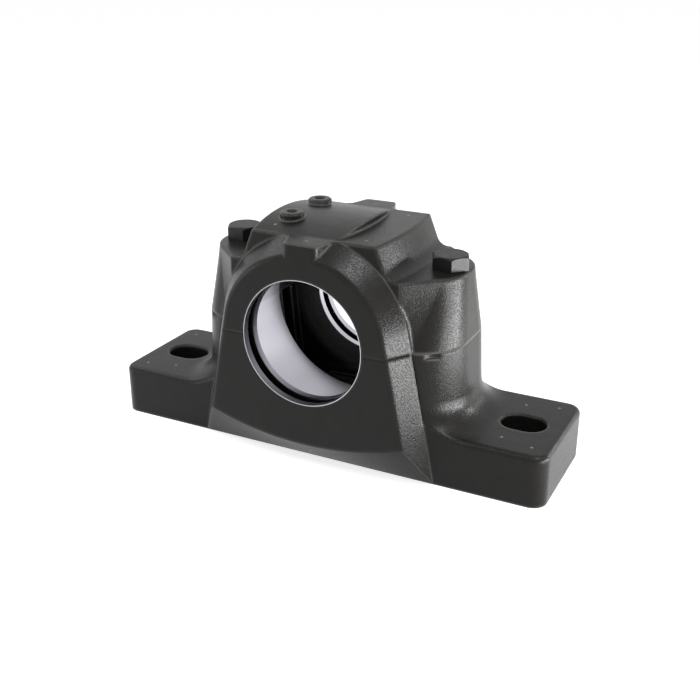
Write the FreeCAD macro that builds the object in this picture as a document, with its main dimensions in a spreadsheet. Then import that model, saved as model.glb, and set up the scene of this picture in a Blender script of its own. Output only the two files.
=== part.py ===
"""Split plummer block: a two-part cast-iron housing for a bearing on a shaft.

The base casting has a foot at each end with a slotted hole, two columns and the lower half
of the bored interior. The cap casting closes it at the height of the shaft, is located by two
dowel pins and is held down by two hexagon-head bolts. The housing is empty: the bearing, the
seals and the shaft belong to whoever fits it.

Frame: X along the length, Y along the shaft, Z up. The origin is the middle of the underside.
All sizes are in millimetres.
"""
import FreeCAD, Part
import math
import os

import Sketcher

SIZES = [
    ("base_length", 255, "length of the foot"),
    ("base_depth", 70, "depth of the foot, along the shaft"),
    ("foot_height", 28, "thickness of the foot"),
    ("foot_corner", 8, "radius of the foot's corners in plan"),
    ("foot_edge", 3, "rounding of the foot's top edge"),
    ("slot_spacing", 210, "distance between the foot's slots"),
    ("slot_long", 24, "length of a slot"),
    ("slot_wide", 18, "width of a slot"),
    ("slot_edge", 0.8, "chamfer at the top of a slot"),
    ("relief_length", 176, "length of the cast recess under the base"),
    ("relief_margin", 10, "width of the machined pad in front of and behind that recess"),
    ("relief_depth", 11, "depth of that recess"),
    ("relief_corner", 8, "corner radius of that recess"),
    ("core_start", 54, "distance from the middle to the deeper pockets under the columns"),
    ("core_length", 30, "length of those pockets"),
    ("core_margin", 13, "metal in front of and behind those pockets"),
    ("core_height", 24, "height of their roofs above the underside"),
    ("centre_height", 70, "height of the shaft above the underside, and of the joint"),
    ("overall_depth", 96, "depth over the end faces, along the shaft"),
    ("seat_diameter", 100, "bore of the bearing seat"),
    ("seat_width", 34, "width of the bearing seat"),
    ("seat_chamfer", 0.8, "chamfer at the edges of the bearing seat"),
    ("opening_diameter", 67.5, "bore of the shaft opening in each end wall"),
    ("end_wall", 13, "thickness of an end wall"),
    ("groove_diameter", 79, "diameter of the seal groove in an end wall"),
    ("groove_width", 5.4, "width of the seal groove"),
    ("groove_inset", 4, "distance of the seal groove from the end face"),
    ("bell_radius", 46.5, "radius of an end face round the shaft"),
    ("bell_growth", 8, "how much wider an end bell is where it meets the body"),
    ("bell_flare", 0.2, "outward slope of a bell's sides towards the foot"),
    ("bell_edge", 3, "rounding of the edge of an end face"),
    ("bell_root", 9, "how far a bell reaches into the body"),
    ("chin_height", 23, "height of the lower corners of an end face"),
    ("chin_drop", 10, "how far the lower edge of an end face bows below its corners"),
    ("bolt_inset", 11, "distance of a cap bolt's axis from the bearing seat"),
    ("column_reach", 14, "distance from a cap bolt's axis to the end of the joint face"),
    ("column_corner", 26, "corner radius of a column at the joint"),
    ("column_draft", 5, "how much a column widens from the joint to the underside"),
    ("column_relief", 0.5, "how far a column's corner stands behind the front of the body"),
    ("root_fillet", 15, "fillet between a column and the foot"),
    ("front_setback", 13, "distance from a bolt's axis to where the body's front turns back"),
    ("shoulder_rise", 36, "height of the cap's bolt platforms above the joint"),
    ("nose_reach", 11, "distance from a cap bolt's axis to the end of a platform"),
    ("nose_corner", 23, "corner radius of a platform"),
    ("nose_flat", 5, "length of the straight end of a platform"),
    ("platform_edge", 1.2, "rounding of the edges of the platforms and the dome's corners"),
    ("dome_half_width", 35, "half width of the cap's dome at its flat top"),
    ("dome_bulge", 3, "how far the dome's sides bow outwards"),
    ("dome_slope", 0.4, "inward slope of the dome's sides"),
    ("dome_root", 6.5, "fillet between the dome and a platform"),
    ("roof_rise", 2.5, "height of the dome's flat top above the bearing seat"),
    ("top_edge", 1, "rounding of the dome's top edges"),
    ("crown_rise", 4.3, "height of the arched crown above the flat top"),
    ("crown_chord", 66, "length of the arch, along the shaft"),
    ("crown_step", 12.5, "distance of the crown's step from the middle, at the ends"),
    ("crown_step_bow", 4.3, "how far that step bows outwards"),
    ("tongue_width", 19, "width of the cap's front and rear tongues at the end face"),
    ("tongue_root", 28, "width of a tongue where it leaves the dome"),
    ("tongue_corner", 2.5, "corner radius of a tongue"),
    ("tongue_inset", 4, "how far a tongue starts behind the front of the body"),
    ("tongue_depth", 13, "height of a tongue's end"),
    ("boss_offset", 22, "distance of the lubrication bosses from the middle"),
    ("boss_spacing", 30.6, "distance between the lubrication bosses, along the shaft"),
    ("boss_diameter", 13, "diameter of a lubrication boss"),
    ("boss_rise", 2.2, "height of a lubrication boss above the crown's top"),
    ("boss_edge", 0.8, "chamfer of a lubrication boss's rim"),
    ("lube_bore", 5, "core diameter of the M6 lubrication hole"),
    ("lube_sink", 0.8, "chamfer at the mouth of that hole"),
    ("cavity_half_width", 50, "half width of the cored space beside the seat, at the joint"),
    ("cavity_taper", 5, "how much that half width shrinks down to the floor"),
    ("cavity_floor", 20, "height of the cavity's floor above the underside"),
    ("cavity_fillet", 4, "fillet between the cavity's floor and its end wall"),
    ("cavity_roof", 3, "distance of the cavity's roof below the top of the seat"),
    ("cavity_corner", 42, "radius of the cavity's upper corners in the cap"),
    ("pocket_reach", 6.5, "how much deeper the side pockets of the cavity are"),
    ("pocket_inset", 2, "distance of those side pockets from the bearing seat"),
    ("pocket_width", 10, "width of those side pockets, along the shaft"),
    ("pocket_depth", 38, "depth of those side pockets below the joint"),
    ("drain_length", 44, "length of the oil drain slot in the cavity's floor"),
    ("drain_width", 7, "width of the oil drain slot"),
    ("drain_inset", 5.5, "distance of the oil drain slot from the bearing seat"),
    ("drain_depth", 3, "depth of the oil drain slot"),
    ("bolt_diameter", 12, "thread size of a cap bolt"),
    ("bolt_length", 60, "length of a cap bolt below its head"),
    ("bolt_plain", 30, "length of a cap bolt's plain shank"),
    ("thread_pitch_diameter", 10.86, "pitch diameter of the cap bolt's thread"),
    ("thread_gap", 0.3, "clearance on diameter between the plain-bored thread and the bolt"),
    ("bolt_tip", 1.5, "chamfer at the tip of a cap bolt"),
    ("bolt_hole_gap", 1.5, "clearance on diameter of the cap's bolt hole"),
    ("tapped_extra", 6, "how much deeper the tapped hole is than the bolt reaches"),
    ("head_flats", 18, "width across the flats of a bolt head"),
    ("head_height", 7.5, "height of a bolt head"),
    ("head_face", 17, "diameter of the flat face on top of a bolt head"),
    ("head_chamfer", 30, "angle of the chamfer round that face, in degrees"),
    ("head_turn", -6, "turn of a tightened bolt head about its axis, in degrees"),
    ("dowel_diameter", 6, "diameter of a dowel pin"),
    ("dowel_length", 14, "length of a dowel pin"),
    ("dowel_side", 19, "distance of a dowel pin from the middle plane, along the shaft"),
    ("dowel_shift", 3, "distance of a dowel pin outside the cap bolts' line"),
    ("dowel_gap", 0.1, "clearance on diameter of a dowel pin in the cap"),
    ("dowel_chamfer", 0.8, "chamfer at the ends of a dowel pin"),
    ("dowel_spare", 1, "space past each end of a dowel pin"),
    ("pry_radius", 9, "radius of the pry slots at the joint"),
    ("pry_height", 3, "height of the pry slots"),
    ("pry_shift", 8.4, "distance of a pry slot's centre outside the bolts' line"),
]

TRIM_STOCK = 0.3
"""Metal left on the front and rear of a casting's body before they are cut flush."""

PLATE_STOCK = 5
"""Width of the foot's plate in front of and behind the columns' fillet, before it is trimmed."""

CUT_PAST = 1
"""How far the outline of a cut runs past the surface that it opens."""

SEARCH = 1
"""How near a test of an edge's place comes, where the next edge is further off than that."""

DEGREES_PER_FLAT = 60

HALF_DEPTH = "Sizes.base_depth / 2"
STOCK_FRONT = f"({HALF_DEPTH} + {TRIM_STOCK})"
END_FACE = "Sizes.overall_depth / 2"
SEAT = "Sizes.seat_diameter / 2"
AXIS = "Sizes.centre_height"
BOLT_X = f"({SEAT} + Sizes.bolt_inset)"
PLATFORM = f"({AXIS} + Sizes.shoulder_rise)"
FLAT_TOP = f"({AXIS} + {SEAT} + Sizes.roof_rise)"
CROWN_TOP = f"({FLAT_TOP} + Sizes.crown_rise)"
WALL_INSIDE = f"({END_FACE} - Sizes.end_wall)"
ABOVE_TOP = f"(Sizes.crown_rise + {SEAT})"
TAPPED_BOTTOM = f"({PLATFORM} - Sizes.bolt_length - Sizes.tapped_extra)"
FRONT_END = f"({BOLT_X} - Sizes.front_setback)"
JOINT_CORNER_Y = f"({HALF_DEPTH} - Sizes.column_corner - Sizes.column_relief)"

NORMAL_PLANES = {"XY": "XY_Plane", "XZ": "XZ_Plane", "YZ": "YZ_Plane"}


def make_sheet(doc):
    """Write the driving sizes into the document's sheet, one named cell each."""
    sheet = doc.addObject("Spreadsheet::Sheet", "Sizes")
    for row, (alias, value, meaning) in enumerate(SIZES, start=1):
        sheet.set(f"A{row}", meaning)
        sheet.set(f"B{row}", str(value))
        sheet.setAlias(f"B{row}", alias)
    doc.recompute()
    return sheet


def new_body(doc, label):
    body = doc.addObject("PartDesign::Body", "Body_" + label)
    body.Label = label
    return body


def new_sketch(body, name, plane, offset="0", rise="0"):
    """Attach a sketch to one of the body's own planes, moved along its normal by offset.

    rise moves the sketch's origin up its own vertical axis. On the XZ plane the normal points
    to the front, towards -Y.
    """
    sketch = body.newObject("Sketcher::SketchObject", name)
    role = NORMAL_PLANES[plane]
    support = next(item for item in body.Origin.OriginFeatures if item.Role == role)
    sketch.AttachmentSupport = (support, "")
    sketch.MapMode = "FlatFace"
    sketch.setExpression(".AttachmentOffset.Base.z", offset)
    sketch.setExpression(".AttachmentOffset.Base.y", rise)
    return sketch


def corner(x, y, bow=None):
    """A sharp corner. With bow, the side that leaves it is an arc of that radius, not a line."""
    return {"x": x, "y": y, "radius": None, "bow": bow}


def rounded(x, y, radius):
    """A round corner, given by the centre and the radius of its arc."""
    return {"x": x, "y": y, "radius": radius, "bow": None}


def tie(sketch, kind, *where, size):
    """Add a constraint whose value follows an expression of the sheet."""
    value = sketch.evalExpression(size)
    index = sketch.addConstraint(Sketcher.Constraint(kind, *where, value))
    sketch.setExpression(f"Constraints[{index}]", size)


def locate(sketch, item, point, node):
    """Hold a point of the sketch at the node's coordinates."""
    for kind, axis, size in (("DistanceX", -2, node["x"]), ("DistanceY", -1, node["y"])):
        if size == "0":
            sketch.addConstraint(Sketcher.Constraint("PointOnObject", item, point, axis))
        else:
            tie(sketch, kind, -1, 1, item, point, size=size)


def tangent_side(start, start_radius, end, end_radius):
    """Ends of the line that touches two circles, both on its left."""
    along = end - start
    turn = math.asin((end_radius - start_radius) / along.Length)
    angle = math.atan2(along.y, along.x) - turn
    left = FreeCAD.Vector(-math.sin(angle), math.cos(angle), 0)
    return start - left * start_radius, end - left * end_radius


def bowed_side(start, end, radius):
    """Arc between two corners, and whether it runs forwards.

    A positive radius bows it away from the outline's inside and a negative one into it.
    """
    half = (end - start) * 0.5
    left = FreeCAD.Vector(-half.y, half.x, 0).normalize()
    reach = math.sqrt(radius ** 2 - half.Length ** 2)
    centre = start + half + left * math.copysign(reach, radius)
    first, last = (start, end) if radius > 0 else (end, start)
    angles = [math.atan2(point.y - centre.y, point.x - centre.x) for point in (first, last)]
    circle = Part.Circle(centre, FreeCAD.Vector(0, 0, 1), abs(radius))
    return Part.ArcOfCircle(circle, *angles), radius > 0


def outline(sketch, nodes):
    """Draw a closed outline round its nodes, counter-clockwise, and tie it to the sheet."""
    centres = [FreeCAD.Vector(sketch.evalExpression(node["x"]), sketch.evalExpression(node["y"]), 0)
               for node in nodes]
    radii = [sketch.evalExpression(node["radius"] or "0") for node in nodes]
    arrivals, departures = {}, {}
    for here, node in enumerate(nodes):
        there = (here + 1) % len(nodes)
        if node["bow"]:
            arc, forwards = bowed_side(centres[here], centres[there],
                                       sketch.evalExpression(node["bow"]))
            side = sketch.addGeometry(arc, False)
            departures[here], arrivals[there] = ((side, 1), (side, 2)) if forwards else (
                (side, 2), (side, 1))
            tie(sketch, "Radius", side, size=f"abs({node['bow']})")
        else:
            ends = tangent_side(centres[here], radii[here], centres[there], radii[there])
            side = sketch.addGeometry(Part.LineSegment(*ends), False)
            departures[here], arrivals[there] = (side, 1), (side, 2)
    for here, node in enumerate(nodes):
        if node["radius"]:
            round_off(sketch, node, centres[here], radii[here], arrivals[here], departures[here])
        else:
            sketch.addConstraint(
                Sketcher.Constraint("Coincident", *arrivals[here], *departures[here]))
            locate(sketch, *departures[here], node)


def round_off(sketch, node, centre, radius, arrival, departure):
    """Join two sides with the arc of a round corner."""
    points = [sketch.getPoint(*end) for end in (arrival, departure)]
    angles = [math.atan2(point.y - centre.y, point.x - centre.x) for point in points]
    circle = Part.Circle(centre, FreeCAD.Vector(0, 0, 1), radius)
    arc = sketch.addGeometry(Part.ArcOfCircle(circle, *angles), False)
    sketch.addConstraint(Sketcher.Constraint("Tangent", *arrival, arc, 1))
    sketch.addConstraint(Sketcher.Constraint("Tangent", arc, 2, *departure))
    tie(sketch, "Radius", arc, size=node["radius"])
    locate(sketch, arc, 3, node)


def circle(sketch, x, y, diameter):
    """Draw a circle and tie it to the sheet."""
    centre = FreeCAD.Vector(sketch.evalExpression(x), sketch.evalExpression(y), 0)
    shape = Part.Circle(centre, FreeCAD.Vector(0, 0, 1), sketch.evalExpression(diameter) / 2)
    item = sketch.addGeometry(shape, False)
    tie(sketch, "Diameter", item, size=diameter)
    locate(sketch, item, 3, corner(x, y))


def both_ways(half_width, low, high):
    """Corners of a box from -half_width to half_width and from low to high."""
    return [corner(half_width, low), corner(half_width, high),
            corner(f"-({half_width})", high), corner(f"-({half_width})", low)]


def feature(body, kind, name, sketch, **settings):
    """Add a feature made from a sketch, and bind each setting that is an expression."""
    item = body.newObject("PartDesign::" + kind, name)
    item.Profile = sketch
    for key, value in settings.items():
        if key in ("Length", "Length2", "TaperAngle"):
            item.setExpression(key, value)
        else:
            setattr(item, key, value)
    body.Document.recompute()
    return item


def loft(body, kind, name, sketches):
    item = body.newObject("PartDesign::" + kind, name)
    item.Profile = sketches[0]
    item.Sections = sketches[1:]
    item.Ruled = True
    body.Document.recompute()
    return item


def turned(body, kind, name, sketch, axis):
    return feature(body, kind, name, sketch, ReferenceAxis=(sketch, [axis]))


def finish_edges(body, kind, name, size, wanted):
    """Fillet or chamfer those edges of the body's shape that the test wanted picks."""
    base = body.Tip
    edges = [f"Edge{number}" for number, edge in enumerate(base.Shape.Edges, start=1)
             if wanted(edge)]
    item = body.newObject("PartDesign::" + kind, name)
    item.Base = (base, edges)
    item.setExpression("Radius" if kind == "Fillet" else "Size", size)
    body.Document.recompute()
    return item


def middle(edge):
    """The point halfway along an edge."""
    first, last = edge.ParameterRange
    return edge.valueAt((first + last) / 2)


def near(a, b, tolerance=0.01):
    return abs(a - b) < tolerance


def lies_at(edge, axis, place, tolerance=0.01):
    """Whether the whole edge lies in the plane where the given coordinate equals place."""
    box = edge.BoundBox
    low, high = {"y": (box.YMin, box.YMax), "z": (box.ZMin, box.ZMax)}[axis]
    return near(low, place, tolerance) and near(high, place, tolerance)


def body_outline(corner_y, corner_radius, reach):
    """Plan of the body at one height: straight front and rear, and a rounded end each side."""
    x = f"({BOLT_X} + {reach} - {corner_radius})"
    back = f"-{x}"
    return [rounded(x, corner_y, corner_radius),
            corner(FRONT_END, STOCK_FRONT), corner(f"-{FRONT_END}", STOCK_FRONT),
            rounded(back, corner_y, corner_radius), rounded(back, f"-{corner_y}", corner_radius),
            corner(f"-{FRONT_END}", f"-{STOCK_FRONT}"), corner(FRONT_END, f"-{STOCK_FRONT}"),
            rounded(x, f"-{corner_y}", corner_radius)]


def bell_side(growth, height):
    """Half width of a bell at a height above the shaft, on the flared side."""
    return (f"((Sizes.bell_radius + {growth}) * sqrt(1 + Sizes.bell_flare ^ 2)"
            f" - ({height}) * Sizes.bell_flare)")


def cap_bell_outline(growth):
    """Upper half of a bell, round the shaft: an arc that runs into the flared sides."""
    side = bell_side(growth, "0")
    return [corner(side, "0"), rounded("0", "0", f"(Sizes.bell_radius + {growth})"),
            corner(f"-{side}", "0")]


def base_bell_outline(growth, foot, chin):
    """Lower part of a bell: flared sides down to foot, and a lower edge that bows by chin."""
    top = bell_side(growth, "0")
    low = bell_side(growth, f"({foot}) - {AXIS}")
    level = f"({foot} - {AXIS})"
    bow = f"(({low} ^ 2 + {chin} ^ 2) / (2 * {chin}))" if chin else None
    return [corner(top, "0"), corner(f"-{top}", "0"),
            corner(f"-{low}", level, bow), corner(low, level)]


def add_bells(body, crest, face):
    """Grow the end bells: a short straight root in the body, then a flank up to the end face."""
    for side, where in ((1, "Front"), (-1, "Rear")):
        root = new_sketch(body, where + "BellRoot", "XZ", f"{side} * {HALF_DEPTH}", AXIS)
        outline(root, crest)
        feature(body, "Pad", where + "Root", root, Length="Sizes.bell_root",
                Reversed=(side > 0))
        end = new_sketch(body, where + "BellFace", "XZ", f"{side} * {END_FACE}", AXIS)
        outline(end, face)
        loft(body, "AdditiveLoft", where + "Bell", [root, end])


def bore_line(body):
    """Turn the interior in one line: both shaft openings, both seal grooves and the seat."""
    sketch = new_sketch(body, "LineBore", "YZ", rise=AXIS)
    opening = "Sizes.opening_diameter / 2"
    groove = "Sizes.groove_diameter / 2"
    outside = f"({END_FACE} + {CUT_PAST})"
    groove_out = f"({END_FACE} - Sizes.groove_inset)"
    groove_in = f"({groove_out} - Sizes.groove_width)"
    seat_end = "Sizes.seat_width / 2"
    chamfer = "Sizes.seat_chamfer"
    right = [(outside, opening), (groove_out, opening), (groove_out, groove),
             (groove_in, groove), (groove_in, opening), (seat_end, opening),
             (seat_end, f"{SEAT} + {chamfer}"), (f"{seat_end} - {chamfer}", SEAT)]
    left = [(f"-({y})", radius) for y, radius in reversed(right)]
    outline(sketch, [corner(f"-{outside}", "0"), corner(outside, "0")]
            + [corner(y, radius) for y, radius in right + left])
    turned(body, "Groove", "BoredInterior", sketch, "H_Axis")


def bolt_places():
    return (BOLT_X, f"-{BOLT_X}")


def make_cap(doc):
    """Cap casting: shoulders for the bolts, the dome with its crown, the upper half bells."""
    body = new_body(doc, "housing_cap")
    joint = new_sketch(body, "JointOutline", "XY", AXIS)
    outline(joint, body_outline(JOINT_CORNER_Y, "Sizes.column_corner", "Sizes.column_reach"))
    platform = new_sketch(body, "PlatformOutline", "XY", PLATFORM)
    outline(platform, body_outline("Sizes.nose_flat / 2", "Sizes.nose_corner",
                                   "Sizes.nose_reach"))
    loft(body, "AdditiveLoft", "Shoulders", [joint, platform])
    add_dome(body)
    cut_flush(body)
    cut_crown(body)
    soften_shoulders(body)
    soften_dome(body)
    add_bells(body, cap_bell_outline("Sizes.bell_growth"), cap_bell_outline("0"))
    add_tongues(body)
    trim_bells(body)
    add_bosses(body)
    soften_cap(body)
    core_cap(body)
    bore_line(body)
    drill_cap(body)
    return body


def dome_outline(level):
    """Plan of the dome at a height: straight front and rear, bowed and sloping sides."""
    half = f"(Sizes.dome_half_width - ({level} - {FLAT_TOP}) * Sizes.dome_slope)"
    bow = f"(({HALF_DEPTH}) ^ 2 + Sizes.dome_bulge ^ 2) / (2 * Sizes.dome_bulge)"
    return [corner(half, STOCK_FRONT), corner(f"-{half}", STOCK_FRONT, bow),
            corner(f"-{half}", f"-{STOCK_FRONT}"), corner(half, f"-{STOCK_FRONT}", bow)]


def add_dome(body):
    low = f"({PLATFORM} - Sizes.dome_root)"
    high = f"({CROWN_TOP} + Sizes.boss_rise)"
    sketches = []
    for name, level in (("DomeFoot", low), ("DomeHead", high)):
        sketch = new_sketch(body, name, "XY", level)
        outline(sketch, dome_outline(level))
        sketches.append(sketch)
    loft(body, "AdditiveLoft", "Dome", sketches)


def cut_flush(body):
    """Cut the front and rear of the cap's body flat, in line with the foot."""
    sketch = new_sketch(body, "FlushPlan", "XY", AXIS)
    outline(sketch, both_ways("Sizes.base_length", HALF_DEPTH, "Sizes.base_depth"))
    outline(sketch, both_ways("Sizes.base_length", "-Sizes.base_depth", f"-({HALF_DEPTH})"))
    feature(body, "Pocket", "FlushSides", sketch, Type="ThroughAll", Midplane=True)


def add_tongues(body):
    """The two flat tongues that carry the dome's top out to the end faces."""
    radius = "Sizes.tongue_corner"
    near_x = "Sizes.tongue_root / 2"
    near_y = f"({HALF_DEPTH} - Sizes.tongue_inset)"
    tip_x = f"(Sizes.tongue_width / 2 - {radius})"
    tip_y = f"({END_FACE} - {radius})"
    for side, where in ((1, "Rear"), (-1, "Front")):
        sketch = new_sketch(body, where + "TonguePlan", "XY", FLAT_TOP)
        nodes = [corner(near_x, f"{side} * {near_y}"), rounded(tip_x, f"{side} * {tip_y}", radius),
                 rounded(f"-{tip_x}", f"{side} * {tip_y}", radius),
                 corner(f"-{near_x}", f"{side} * {near_y}")]
        outline(sketch, nodes if side > 0 else nodes[::-1])
        feature(body, "Pad", where + "Tongue", sketch, Reversed=True,
                Length="Sizes.tongue_depth")


def cut_crown(body):
    """Cut the top to its arch, and the right-hand wing and both tongues flat beside it."""
    sketch = new_sketch(body, "CrownArch", "YZ", rise=FLAT_TOP)
    chord = "Sizes.crown_chord / 2"
    rise = "Sizes.crown_rise"
    arch = f"-(({chord}) ^ 2 + {rise} ^ 2) / (2 * {rise})"
    side = f"({END_FACE} + {CUT_PAST})"
    outline(sketch, [corner(f"-{side}", "0"), corner(f"-{chord}", "0", arch),
                     corner(chord, "0"), corner(side, "0"),
                     corner(side, ABOVE_TOP), corner(f"-{side}", ABOVE_TOP)])
    feature(body, "Pocket", "ArchedTop", sketch, Type="ThroughAll", Midplane=True)
    wing = new_sketch(body, "WingPlan", "XY", FLAT_TOP)
    end = f"({HALF_DEPTH} + {CUT_PAST})"
    step = "Sizes.crown_step"
    bow = f"-(({end}) ^ 2 + Sizes.crown_step_bow ^ 2) / (2 * Sizes.crown_step_bow)"
    outline(wing, [corner(step, f"-{end}"), corner(BOLT_X, f"-{end}"), corner(BOLT_X, end),
                   corner(step, end, bow)])
    feature(body, "Pocket", "FlatWing", wing, Reversed=True, Length=ABOVE_TOP)


def trim_bells(body):
    """Cut what the bells and tongues add above the crown, with the crown's own two sketches."""
    document = body.Document
    feature(body, "Pocket", "ArchedBells", document.getObject("CrownArch"), Type="ThroughAll",
            Midplane=True)
    feature(body, "Pocket", "FlatBells", document.getObject("WingPlan"), Reversed=True,
            Length=ABOVE_TOP)


def add_bosses(body):
    """The two low round bosses for the lubrication holes."""
    sketch = new_sketch(body, "BossPlan", "XY", f"{CROWN_TOP} + Sizes.boss_rise")
    for side in (1, -1):
        circle(sketch, "-Sizes.boss_offset", f"{side} * Sizes.boss_spacing / 2",
               "Sizes.boss_diameter")
    feature(body, "Pad", "Bosses", sketch, Reversed=True,
            Length="Sizes.crown_rise + Sizes.boss_rise + Sizes.roof_rise")


def soften_shoulders(body):
    """Fill the corner between dome and platforms, and round the platforms' and dome's edges."""
    platform = body.evalExpression(PLATFORM)
    dome_foot = body.evalExpression(f"Sizes.dome_half_width + ({FLAT_TOP} - {PLATFORM})"
                                    " * Sizes.dome_slope + Sizes.dome_bulge")
    bolt_line = body.evalExpression(BOLT_X)

    def dome_root(edge):
        point = middle(edge)
        return lies_at(edge, "z", platform) and abs(point.x) < dome_foot + SEARCH and near(
            point.y, 0, SEARCH)

    def platform_rim(edge):
        point = middle(edge)
        return lies_at(edge, "z", platform) and not (
            near(point.y, 0, SEARCH) and abs(point.x) < bolt_line)

    finish_edges(body, "Fillet", "DomeRoot", "Sizes.dome_root", dome_root)
    finish_edges(body, "Fillet", "PlatformRim", "Sizes.platform_edge", platform_rim)


def soften_dome(body):
    """Round the edge all round the dome's top."""
    value = body.evalExpression
    front, flat_top = value(HALF_DEPTH), value(FLAT_TOP)
    narrowest = value("Sizes.dome_half_width - Sizes.crown_rise * Sizes.dome_slope")

    def top_rim(edge):
        outside = abs(middle(edge).x) > narrowest - SEARCH or (
            lies_at(edge, "y", front) or lies_at(edge, "y", -front))
        return edge.BoundBox.ZMin > flat_top - SEARCH and outside

    finish_edges(body, "Fillet", "TopEdge", "Sizes.top_edge", top_rim)


def soften_cap(body):
    """Round the edges of the cap's end faces."""
    value = body.evalExpression
    end_face, joint = value(END_FACE), value(AXIS)
    bell_top = value(f"{AXIS} + Sizes.bell_radius")

    def bell_rim(edge):
        return (lies_at(edge, "y", end_face) or lies_at(edge, "y", -end_face)) and not (
            lies_at(edge, "z", joint)) and middle(edge).z < bell_top

    finish_edges(body, "Fillet", "BellRim", "Sizes.bell_edge", bell_rim)


def core_cap(body):
    """Cored spaces in the cap beside the bearing seat, one at each end."""
    half = "Sizes.cavity_half_width"
    radius = "Sizes.cavity_corner"
    roof = f"({SEAT} - Sizes.cavity_roof)"
    for side, where in ((1, "Front"), (-1, "Rear")):
        sketch = new_sketch(body, where + "CavityShape", "XZ", f"{side} * {WALL_INSIDE}", AXIS)
        outline(sketch, [corner(half, "0"), rounded(f"({half} - {radius})",
                                                    f"({roof} - {radius})", radius),
                         rounded(f"-({half} - {radius})", f"({roof} - {radius})", radius),
                         corner(f"-{half}", "0")])
        feature(body, "Pocket", where + "Cavity", sketch, Reversed=(side < 0),
                Length=f"{WALL_INSIDE} - Sizes.seat_width / 2")


def drill_cap(body):
    """Bolt holes, dowel holes and the tapped lubrication holes."""
    sketch = new_sketch(body, "BoltHoles", "XY", PLATFORM)
    for x in bolt_places():
        circle(sketch, x, "0", "(Sizes.bolt_diameter + Sizes.bolt_hole_gap)")
    feature(body, "Pocket", "BoltHole", sketch, Type="ThroughAll")
    dowels = new_sketch(body, "DowelHoles", "XY", AXIS)
    for side in (1, -1):
        circle(dowels, f"{side} * ({BOLT_X} + Sizes.dowel_shift)", f"{side} * Sizes.dowel_side",
               "(Sizes.dowel_diameter + Sizes.dowel_gap)")
    feature(body, "Pocket", "DowelHole", dowels, Reversed=True,
            Length="Sizes.dowel_length / 2 + Sizes.dowel_spare")
    bosses = new_sketch(body, "LubricationHoles", "XY", f"{CROWN_TOP} + Sizes.boss_rise")
    for side in (1, -1):
        circle(bosses, "-Sizes.boss_offset", f"{side} * Sizes.boss_spacing / 2", "Sizes.lube_bore")
    feature(body, "Pocket", "LubricationHole", bosses, Length=SEAT)
    boss_top = body.evalExpression(f"{CROWN_TOP} + Sizes.boss_rise")

    def ring(diameter):
        radius = body.evalExpression(f"{diameter} / 2")
        return lambda edge: lies_at(edge, "z", boss_top) and near(edge.Curve.Radius, radius)

    finish_edges(body, "Chamfer", "LubricationMouth", "Sizes.lube_sink", ring("Sizes.lube_bore"))
    finish_edges(body, "Chamfer", "BossRim", "Sizes.boss_edge", ring("Sizes.boss_diameter"))


def make_base(doc):
    """Base casting: the foot, the two columns, the lower half bells and the oil space."""
    body = new_body(doc, "housing_base")
    raise_columns(body)
    trim_to_foot(body)
    add_bells(body, base_bell_outline("Sizes.bell_growth", "0", None),
              base_bell_outline("0", "Sizes.chin_height", "Sizes.chin_drop"))
    soften_base(body)
    core_base(body)
    bore_line(body)
    drill_base(body)
    relieve_underside(body)
    return body


def raise_columns(body):
    """A plate with the columns' block on it, and the large fillet between the two."""
    plate = new_sketch(body, "PlatePlan", "XY")
    plate_y = f"({STOCK_FRONT} + Sizes.root_fillet + {PLATE_STOCK})"
    outline(plate, both_ways("Sizes.base_length / 2", f"-{plate_y}", plate_y))
    feature(body, "Pad", "Plate", plate, Length="Sizes.foot_height")
    sections = []
    foot_corner = "(Sizes.column_corner + Sizes.column_draft)"
    foot_reach = "(Sizes.column_reach + Sizes.column_draft)"
    levels = (("ColumnFoot", "0", f"({STOCK_FRONT} - {foot_corner})", foot_corner, foot_reach),
              ("ColumnHead", AXIS, JOINT_CORNER_Y, "Sizes.column_corner", "Sizes.column_reach"))
    for name, level, corner_y, corner_radius, reach in levels:
        sketch = new_sketch(body, name, "XY", level)
        outline(sketch, body_outline(corner_y, corner_radius, reach))
        sections.append(sketch)
    loft(body, "AdditiveLoft", "Columns", sections)
    foot_top = body.evalExpression("Sizes.foot_height")
    plate_edge = body.evalExpression(f"{STOCK_FRONT} + Sizes.root_fillet")
    plate_end = body.evalExpression("Sizes.base_length / 2")

    def column_root(edge):
        point = middle(edge)
        return lies_at(edge, "z", foot_top) and abs(point.y) < plate_edge and not (
            near(abs(point.x), plate_end))

    finish_edges(body, "Fillet", "ColumnRoot", "Sizes.root_fillet", column_root)


def foot_outline():
    radius = "Sizes.foot_corner"
    x = f"(Sizes.base_length / 2 - {radius})"
    y = f"({HALF_DEPTH} - {radius})"
    return [rounded(x, y, radius), rounded(f"-{x}", y, radius),
            rounded(f"-{x}", f"-{y}", radius), rounded(x, f"-{y}", radius)]


def trim_to_foot(body):
    """Cut everything flush with the foot's own outline, and round the foot's top edge."""
    sketch = new_sketch(body, "TrimPlan", "XY")
    outline(sketch, foot_outline())
    outline(sketch, both_ways("Sizes.base_length", "-Sizes.base_depth", "Sizes.base_depth"))
    feature(body, "Pocket", "TrimToFoot", sketch, Type="ThroughAll", Midplane=True)
    value = body.evalExpression
    foot_top, front = value("Sizes.foot_height"), value(HALF_DEPTH)
    corner_start = value("Sizes.base_length / 2 - Sizes.foot_corner")

    def foot_rim(edge):
        point = middle(edge)
        return lies_at(edge, "z", foot_top) and (
            abs(point.x) > corner_start or near(abs(point.y), front))

    finish_edges(body, "Fillet", "FootRim", "Sizes.foot_edge", foot_rim)


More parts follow.
